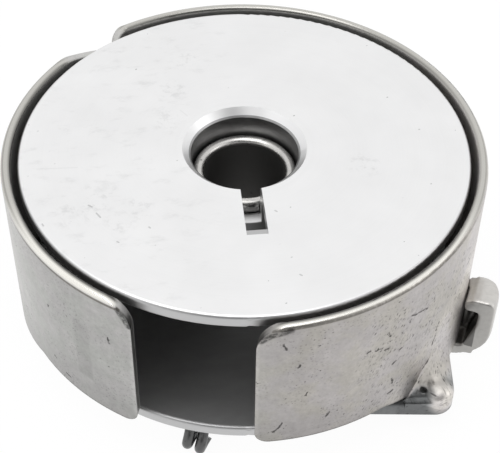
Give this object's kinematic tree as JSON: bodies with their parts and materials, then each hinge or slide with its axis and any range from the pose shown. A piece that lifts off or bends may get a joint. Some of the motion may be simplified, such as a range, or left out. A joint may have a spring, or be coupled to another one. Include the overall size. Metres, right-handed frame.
{
  "type": "sewing machine bobbin case with bobbin",
  "caption": "Round open bobbin case for a sewing machine with a wide slotted bobbin on a hollow stud, a flip latch, a thread tension leaf and a wire pigtail.",
  "frame": {"origin": "on the stud's axis, in the floor's outer face", "axes": "+Z along the stud towards the open side, -Y towards the front window, +X towards the latch's finger tab"},
  "size_m": [0.0369, 0.0342, 0.016],
  "materials": {
    "case_steel": "worn bright-plated steel with pits",
    "stud_steel": "polished steel",
    "bobbin_aluminium": "satin turned aluminium",
    "latch_steel": "satin steel",
    "spring_steel": "bright spring steel",
    "screw_steel": "turned steel",
    "dark_wire": "blackened wire"
  },
  "bodies": {
    "case": {"case_cup": "case_steel", "center_stud": "stud_steel", "tension_spring": "spring_steel", "spring_fixing_screw": "screw_steel", "thread_guide": "dark_wire", "latch_spring": "spring_steel"},
    "bobbin": {"bobbin": "bobbin_aluminium"},
    "slide": {"latch_slide": "latch_steel", "latch_hinge_pin": "latch_steel"},
    "lever": {"latch_lever": "latch_steel"},
    "adjuster": {"tension_screw": "screw_steel"}
  },
  "joints": [
    {"name": "bobbin_spin", "type": "hinge", "parent": "case", "child": "bobbin", "pos_m": [0, 0, 0.0015], "axis": [0, 0, 1], "continuous": true},
    {"name": "latch_slide_travel", "type": "slide", "parent": "case", "child": "slide", "axis": [-0.9537, 0.3007, 0], "range_m": [0, 0.0017], "deforming": ["latch_spring"]},
    {"name": "latch_lever_flip", "type": "hinge", "parent": "slide", "child": "lever", "pos_m": [-0.01202, 0.00379, -0.00095], "axis": [0.3007, 0.9537, 0], "range_deg": [0, 80]},
    {"name": "tension_screw_turn", "type": "hinge", "parent": "case", "child": "adjuster", "pos_m": [-0.01552, 0.00808, 0.0068], "axis": [-0.887, 0.4617, 0], "range_deg": [-180, 180]}
  ],
  "couplings": [
    {"joint": "latch_slide_travel", "follows": "latch_lever_flip", "m_per_rad": 0.0012}
  ]
}
